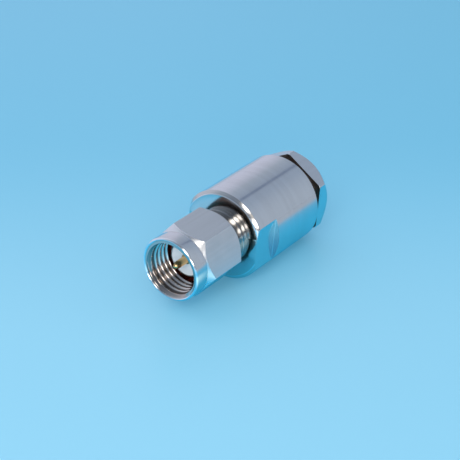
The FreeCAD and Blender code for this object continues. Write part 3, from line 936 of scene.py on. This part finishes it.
@dataclass
class MainBody:
    """Round main body with its boss, two wrench flats and the clamp thread."""

    joint: float = 6.52
    boss: float = 3.50
    boss_bevel: float = 0.07
    front: float = 6.95
    front_face: float = 5.30
    front_bevel: float = 0.36
    rear: float = 19.21
    rear_bevel: float = 0.06
    outer: float = 5.75
    wrench_end: float = 10.65
    wrench_half: float = 5.00
    wrench_turn: float = 6.0
    foot_bevel: float = 0.14
    flat_bevel: float = 0.07
    thread: Thread = Thread(pitch=0.75, crest=4.12, root=4.50, start=16.5)
    thread_start: float = 14.61
    thread_mean: float = 4.28
    mouth: float = 4.53
    cavity: float = 4.05
    web_start: float = 10.47
    web_end: float = 11.47
    web_bore: float = 2.60
    spigot_bore: float = 3.00
    # faces farther out than this get painted highlights or the painted step reflection
    painted_edge_from: float = 4.90

    def inner(self, x: float, angle: float) -> float:
        """Radius of the clamp thread with its bevelled mouth."""
        return max(self.mouth - (self.rear - x), self.thread.radius(x, angle))

    def on_flats(self, first: Vector, second: Vector) -> bool:
        """Tell whether both ends of an edge lie no farther out than the wrench flats."""
        out = Vector((0, math.cos(math.radians(self.wrench_turn)), math.sin(math.radians(self.wrench_turn))))
        return max(abs(first.dot(out)), abs(second.dot(out))) < self.wrench_half + 0.01

    def round_flats(self, first: Vector, second: Vector, angle: float) -> bool:
        """Pick the outer edges of the wrench flats."""
        outside = min(from_axis(first), from_axis(second)) > self.wrench_half - 0.03 and angle > LEAST_BEND
        return outside and self.on_flats(first, second) and max(first.x, second.x) < self.wrench_end + 0.05

    def step_foot(self, first: Vector, second: Vector, angle: float) -> bool:
        """Pick the inner edge where a flat meets its step."""
        at_step = max(abs(spot.x - self.wrench_end) for spot in (first, second)) < 0.01
        return at_step and angle > 60 and self.on_flats(first, second) and (first - second).length > 1

    def build(self) -> Piece:
        """Turn, thread and mill the main body.

        Returns:
            The finished piece.
        """
        corners = [
            Corner(self.joint, self.spigot_bore), Corner(self.joint, self.boss - self.boss_bevel, 0.02),
            Corner(self.joint + self.boss_bevel, self.boss, 0.02), Corner(self.front, self.boss),
            Corner(self.front, self.front_face, 0.09), Corner(self.front + self.front_bevel, self.outer, 0.05),
            Corner(self.rear - self.rear_bevel, self.outer, 0.02),
            Corner(self.rear, self.outer - self.rear_bevel, 0.02), Corner(self.rear, self.mouth, 0.02),
        ]
        corners += rows(self.rear - 0.03, self.thread_start, self.thread.pitch / 14, self.thread_mean)
        corners += [
            Corner(self.thread_start - 0.02, self.cavity), Corner(self.web_end, self.cavity),
            Corner(self.web_end, self.web_bore), Corner(self.web_start, self.web_bore),
            Corner(self.web_start, self.spigot_bore),
        ]
        piece = turn("round_body", corners)
        cut_thread(piece, self.thread_start, self.rear - 0.03, self.thread_mean, self.inner)
        for side in (0, 180):
            low = Vector((self.joint - 1, self.wrench_half, -CLEAR))
            mill_block(piece, low, Vector((self.wrench_end, CLEAR, CLEAR)), self.wrench_turn + side)
        bevel_edges(piece, self.step_foot, self.foot_bevel)
        bevel_edges(piece, self.round_flats, self.flat_bevel)
        return finish_piece(piece)

    def finish_at(self, face: Face) -> MetalFinish:
        """Choose a face's finish: milled flats, inner thread, painted shade on the neck, painted highlights on the rim
        and step, a painted reflection on the wrench step's wall and painted shade on the rear face.

        Args:
            face: the face.

        Returns:
            The finish.
        """
        outwards = face.radius > self.painted_edge_from
        if face.flat:
            return MILLED
        if face.radius < self.mouth + 0.07 and face.x > self.web_end + 0.13:
            return THREADED
        # The boss by the neck gets painted shade.
        if face.radius < self.boss + 0.1 and face.x < self.front + 0.25:
            return NECK_SHADE
        # The front bevel of the main body gets a painted highlight.
        if face.x < self.front + 0.07 and 0.1 < -face.tilt < 0.97 and outwards:
            return EDGE_HIGHLIGHT
        # The wrench step's wall gets a painted blue reflection, its fillet a painted highlight.
        if face.x > self.wrench_end - 0.15 and outwards and face.tilt < -0.1:
            return STEP_REFLECTION if face.tilt < -0.97 else EDGE_HIGHLIGHT
        # The main body's rear face, in the gap to the clamp nut, gets painted shade.
        return GAP_SHADE if face.tilt > 0.9 and face.x > self.rear - 0.1 else TURNED

    def add(self) -> None:
        """Build, dress and hand over the main body."""
        finishes = [TURNED, MILLED, THREADED, GAP_SHADE, NECK_SHADE, STEP_REFLECTION, EDGE_HIGHLIGHT]
        hand_over(self.build(), "shell", "main_body", finishes, self.finish_at)


@dataclass
class CableClamp:
    """Screwed clamp nut with the pieces that it squeezes on to the cable."""

    shank_end: float = 16.77
    shank_face: float = 3.93
    thread: Thread = Thread(pitch=0.75, crest=4.02, root=4.44, start=16.5)
    thread_end: float = 19.93
    thread_mean: float = 4.23
    undercut: float = 3.95
    head: float = 20.43
    head_bevel: float = 0.10
    rear: float = 22.80
    rear_bevel: Point = (1.30, 0.98)
    outer: float = 5.75
    across: float = 10.00
    flat_bevel: float = 0.09
    turned_by: float = 34.4
    bore: float = 2.65
    bore_bevel: float = 0.35
    gasket_front: float = 13.17
    gasket_rear: float = 15.42
    gasket_outer: float = 4.00
    gasket_bore: float = 2.60
    cone: float = 3.25
    cone_end: float = 14.32

    def shank(self, x: float, angle: float) -> float:
        """Radius of the screwed shank with its bevelled end."""
        return min(self.shank_face + (x - self.shank_end), self.thread.radius(x, angle))

    def clamp_nut(self) -> Piece:
        """Turn, thread and mill the clamp nut.

        Returns:
            The finished piece.
        """
        corners = [Corner(self.shank_end, self.bore, 0.03)]
        corners += rows(self.shank_end, self.thread_end, self.thread.pitch / 20, self.thread_mean)
        corners += [
            Corner(self.thread_end + 0.02, self.undercut), Corner(self.head, self.undercut),
            Corner(self.head, self.outer - self.head_bevel, 0.02),
            Corner(self.head + self.head_bevel, self.outer, 0.03),
            Corner(self.rear - self.rear_bevel[0], self.outer),
            Corner(self.rear, self.outer - self.rear_bevel[1], 0.05),
            Corner(self.rear, self.bore + self.bore_bevel, 0.04),
            Corner(self.rear - self.bore_bevel, self.bore, 0.04),
        ]
        piece = turn("clamp_hex", corners)
        cut_thread(piece, self.shank_end, self.thread_end, self.thread_mean, self.shank)
        mill_hexagon(piece, self.turned_by, self.across, self.flat_bevel)
        return finish_piece(piece)

    def gasket(self) -> Piece:
        """Mould the rubber ring with its conical recess.

        Returns:
            The finished piece.
        """
        corners = [
            Corner(self.gasket_front, self.cone, 0.06), Corner(self.gasket_front, self.gasket_outer, 0.12),
            Corner(self.gasket_rear, self.gasket_outer, 0.12), Corner(self.gasket_rear, self.gasket_bore, 0.12),
            Corner(self.cone_end, self.gasket_bore, 0.1),
        ]
        return finish_piece(turn("rubber_ring", corners, 4))

    def finish_at(self, face: Face) -> MetalFinish:
        """Choose a face's finish: drawn flats, threaded shank, painted shade in the undercut and painted highlights on
        the front edges.

        Args:
            face: the face.

        Returns:
            The finish.
        """
        if face.flat:
            return DRAWN
        if face.x < self.head + 0.01:
            # The clamp nut's undercut gets painted shade.
            return GAP_SHADE if face.x > self.thread_end else THREADED
        # The clamp nut's front edges get a painted highlight.
        return EDGE_HIGHLIGHT if face.tilt < -0.1 else TURNED

    def add(self) -> None:
        """Build, dress and hand over the clamp's pieces."""
        finishes = [TURNED, DRAWN, THREADED, GAP_SHADE, EDGE_HIGHLIGHT]
        hand_over(self.clamp_nut(), "clamp", "clamp_nut", finishes, self.finish_at)
        hand_over(self.gasket(), "shell", "cable_gasket", [RUBBER])
        keep_solid("braid_clamp", BRASS)
        keep_solid("thrust_washer", BRASS)


# Table, light and camera.


@dataclass(frozen=True)
class Glow:
    """A soft-edged patch of the room, by its direction in degrees from +X towards +Y and upwards."""

    azimuth: float
    elevation: float
    half_width: float
    half_height: float
    colour: Colour
    edge: float = 0.25

    def mask(self, tree: Tree, azimuth: Socket, elevation: Socket) -> Socket:
        """Find how far a direction lies inside the patch.

        Args:
            tree: the world's tree.
            azimuth: the direction's bearing in degrees.
            elevation: its height in degrees.

        Returns:
            A mask from 0 to 1.
        """
        beside = tree.math("SUBTRACT", azimuth, self.azimuth)
        above = tree.math("SUBTRACT", elevation, self.elevation)
        beside = tree.math("DIVIDE", beside, self.half_width)
        away = tree.length(beside, tree.math("DIVIDE", above, self.half_height))
        return tree.spread(away, 1 - self.edge, 1 + self.edge, 1.0, 0.0)


@dataclass(frozen=True)
class MirroredGlare:
    """A soft pale spot of glare painted on the table for the metal's reflections only: its centre and size in
    millimetres.
    """

    centre: Point
    squeeze: float
    colour: Colour
    inner: float = 3.0
    outer: float = 8.0

    def mask(self, tree: Tree, place: Socket, height: float) -> Socket:
        """Find how far a place on the table lies inside the spot.

        Args:
            tree: the table's tree.
            place: the place.
            height: height of the table in metres.

        Returns:
            A mask from 0 to 1.
        """
        x, y = self.centre
        moved = (-x * self.squeeze * MM, -y * MM, -height)
        values = {"Vector": place, "Scale": (self.squeeze, 1, 1), "Location": moved}
        spot = tree.add("Mapping", values).outputs[0]
        away = tree.add("VectorMath", {0: spot}, operation="LENGTH").outputs["Value"]
        return tree.spread(away, self.inner * MM, self.outer * MM, 1.0, 0.0)


@dataclass(frozen=True)
class Softbox:
    """A square soft light that faces the plug and isn't mirrored: direction in degrees, sizes in metres, watts."""

    name: str
    azimuth: float
    elevation: float
    reach: float
    width: float
    power: float

    def hang(self) -> None:
        """Hang the light."""
        lamp = bpy.data.lights.new(self.name, "AREA")
        lamp.shape = "RECTANGLE"
        lamp.size = lamp.size_y = self.width
        lamp.energy = self.power
        holder = bpy.data.objects.new(self.name, lamp)
        bpy.context.scene.collection.objects.link(holder)
        bearing, height = math.radians(self.azimuth), math.radians(self.elevation)
        flat = math.cos(height)
        towards = Vector((flat * math.cos(bearing), flat * math.sin(bearing), math.sin(height)))
        holder.location = MIDDLE + towards * self.reach
        holder.rotation_euler = towards.to_track_quat("Z", "Y").to_euler()
        holder.visible_glossy = False


@dataclass
class Table:
    """Blue table: sizes in metres, distances along and across the picture, and colours for the eye and the metal."""

    height: float = -5.75 * MM
    radius: float = 3.0
    blue: Colour = (0.16, 0.41, 0.53)
    # lighter blue nearer the camera: a painted pool of light
    lit_near_blue: Colour = (0.26, 0.50, 0.595)
    cloud: Colour = (0.5, 0.6, 0.7)
    clouded: float = 0.06
    # colours that only the metal mirrors: a darker blue that stands in for the table in shadow, painted glare spots,
    # and grey far out
    mirrored_blue: Colour = (0.024, 0.37, 0.62)
    grey: Colour = (0.34, 0.38, 0.44)
    # a painted glow of the table itself, which lightens its shadows though it is no lamp
    fill_glow: Colour = (0.06, 0.42, 0.66)
    fill_glow_strength: float = 0.28
    roughness: float = 0.30
    refraction: float = 1.35
    glare_spots: tuple[MirroredGlare, ...] = (
        MirroredGlare((-2.4, -13.5), 0.5, (0.50, 0.85, 0.95)),
        MirroredGlare((-8.5, 12.5), 0.8, (0.27, 0.54, 0.74)),
    )
    picture_turn: float = -0.6298
    picture_shift: Point = (-0.0396, 0.0017)
    fanned: float = 0.2
    lit_near: Point = (-0.050, 0.010)
    beside: Point = (0.035, 0.085)
    behind: Point = (0.020, 0.080)

    def material(self) -> bpy.types.Material:
        """Make the glossy blue, with painted light: a lighter pool towards the camera, a faint painted glow and, for
        the metal's reflections only, a darker blue with painted glare spots that turns grey well outside the picture.

        Returns:
            The table's material.
        """
        material, tree, surface = new_material("table_blue")
        place = tree.place()
        moved = {"Vector": place, "Rotation": (0, 0, self.picture_turn), "Location": (*self.picture_shift, 0)}
        parts = tree.split(tree.add("Mapping", moved).outputs[0])
        widened = tree.math("SUBTRACT", tree.math("ABSOLUTE", parts[1]), tree.math("MULTIPLY", parts[0], self.fanned))
        beside = tree.spread(widened, *self.beside, 0.0, 1.0)
        outside = tree.math("MAXIMUM", beside, tree.spread(parts[0], *self.behind, 0.0, 1.0))
        # The table seen by the camera is painted lighter towards the camera, as a pool of light.
        tint = tree.blend(tree.spread(parts[0], *self.lit_near, 1.0, 0.0), self.blue, self.lit_near_blue)
        cloud = tree.math("MULTIPLY", tree.noise(place, 9.0, 2.0), self.clouded)
        tint = tree.blend(cloud, tint, self.cloud, "MULTIPLY")
        # Painted reflection: the metal mirrors a darker blue with pale glare spots, and grey far out.
        mirrored = self.mirrored_blue
        for spot in self.glare_spots:
            mirrored = tree.blend(spot.mask(tree, place, self.height), mirrored, spot.colour)
        mirrored = tree.blend(outside, mirrored, self.grey)
        seen = tree.add("LightPath").outputs["Is Camera Ray"]
        tree.link(tree.blend(seen, mirrored, tint), surface["Base Color"])
        surface["Roughness"].default_value = self.roughness
        surface["IOR"].default_value = self.refraction
        # The table glows a little as painted fill light; for rays other than the camera's it glows grey well outside.
        surface["Emission Strength"].default_value = self.fill_glow_strength
        unseen = tree.math("MULTIPLY", outside, tree.math("SUBTRACT", 1.0, seen))
        tree.link(tree.blend(unseen, self.fill_glow, self.grey), surface["Emission Color"])
        return material

    def lay(self) -> None:
        """Lay the table."""
        deselect()
        bpy.ops.mesh.primitive_circle_add(
            vertices=64, radius=self.radius, fill_type="NGON", location=(0, 0, self.height)
        )
        table = bpy.context.object
        table.name = table.data.name = "table"
        bpy.ops.object.transform_apply(location=True, rotation=True, scale=True)
        table.data.materials.append(self.material())


@dataclass
class Studio:
    """Table, room, soft lights and camera: angles of the room in degrees, the camera's in radians."""

    table: Table
    room: tuple[tuple[float, Colour], ...] = (
        (-180, (0.17, 0.21, 0.28)),
        (-125, (0.20, 0.25, 0.33)),
        (-95, (0.42, 0.52, 0.66)),
        (-60, (0.46, 0.56, 0.72)),
        (-43, (0.44, 0.54, 0.70)),
        (-17, (0.33, 0.43, 0.60)),
        (10, (0.33, 0.42, 0.58)),
        (24, (0.38, 0.47, 0.62)),
        (40, (0.60, 0.66, 0.87)),
        (60, (0.62, 0.69, 0.90)),
        (105, (0.56, 0.63, 0.80)),
        (118, (0.54, 0.60, 0.74)),
        (132, (0.33, 0.42, 0.54)),
        (160, (0.20, 0.26, 0.36)),
        (180, (0.17, 0.21, 0.28)),
    )
    patches: tuple[Glow, ...] = (
        Glow(-147.5, 26.5, 6.0, 7.0, (0.5, 0.5, 0.5)),
        Glow(-158.0, 38.0, 11.0, 8.5, (5.0, 5.0, 5.0)),
        Glow(-143.5, 12.5, 8.5, 7.0, (5.0, 5.0, 5.0)),
        Glow(0.0, 45.0, 3.0, 14.0, (0.15, 0.21, 0.35), 0.4),
    )
    lights: tuple[Softbox, ...] = (
        Softbox("high_light", 150, 64, 0.45, 0.50, 0.50),
        Softbox("right_light", -75, 40, 0.60, 0.70, 0.60),
        Softbox("front_light", -152, 28, 0.25, 0.22, 0.42),
        Softbox("back_light", 50, 45, 0.60, 0.70, 0.30),
    )
    focal_length: float = 96.946
    eye: Place = (-96.798, -76.859, 71.670)
    bearing: float = 0.9407205
    fall: float = 0.502256

    def world(self) -> None:
        """Make the room that the metal mirrors: pale beyond the plug, dark on the camera's side."""
        world = bpy.data.worlds.new("room")
        bpy.context.scene.world = world
        world.use_nodes = True
        tree = Tree(world.node_tree)
        sky = world.node_tree.nodes["Background"]
        parts = tree.split(tree.add("TexCoord").outputs["Generated"])
        turns = tree.math("DIVIDE", tree.math("ARCTAN2", parts[1], parts[0]), 2 * math.pi)
        azimuth = tree.math("MULTIPLY", turns, 360.0)
        elevation = tree.math("MULTIPLY", tree.math("ARCSINE", parts[2]), 180 / math.pi)
        ramp = tree.add("ValToRGB", {0: tree.math("ADD", turns, 0.5)})
        elements = ramp.color_ramp.elements
        while len(elements) < len(self.room):
            elements.new(0.5)
        for element, (degrees, colour) in zip(elements, self.room):
            element.position = (degrees + 180) / 360
            element.color = (*colour, 1)
        shown = ramp.outputs[0]
        for patch in self.patches:
            shown = tree.blend(patch.mask(tree, azimuth, elevation), shown, patch.colour)
        tree.link(shown, sky.inputs[0])
        sky.inputs[1].default_value = 1.0

    def camera(self) -> None:
        """Set the camera up at the picture's viewing angle."""
        lens = bpy.data.cameras.new("camera")
        lens.sensor_fit = "HORIZONTAL"
        lens.sensor_width = 36.0
        lens.lens = self.focal_length
        lens.clip_start = 0.001
        lens.clip_end = 20.0
        holder = bpy.data.objects.new("camera", lens)
        bpy.context.scene.collection.objects.link(holder)
        right = Vector((math.cos(self.bearing), -math.sin(self.bearing), 0))
        flat = math.cos(self.fall)
        ahead = Vector((math.sin(self.bearing) * flat, math.cos(self.bearing) * flat, -math.sin(self.fall)))
        turned = Matrix((right, right.cross(ahead), -ahead)).transposed().to_4x4()
        holder.matrix_world = Matrix.Translation(Vector(self.eye) * MM) @ turned
        bpy.context.scene.camera = holder

    def add(self) -> None:
        """Build the whole studio."""
        self.table.lay()
        self.world()
        for light in self.lights:
            light.hang()
        self.camera()
        bpy.context.scene.view_settings.view_transform = "Standard"
        log.info("studio ready")


def main() -> None:
    """Build the plug's pieces in order, then the studio."""
    logging.basicConfig(level=logging.INFO, format="%(name)s: %(message)s")
    make_groups()
    for assembly in (CouplingNut(), FrontEnd(), MainBody(), CableClamp()):
        assembly.add()
        log.info("%s built", type(assembly).__name__)
    Studio(Table()).add()


if __name__ == "__main__":
    main()
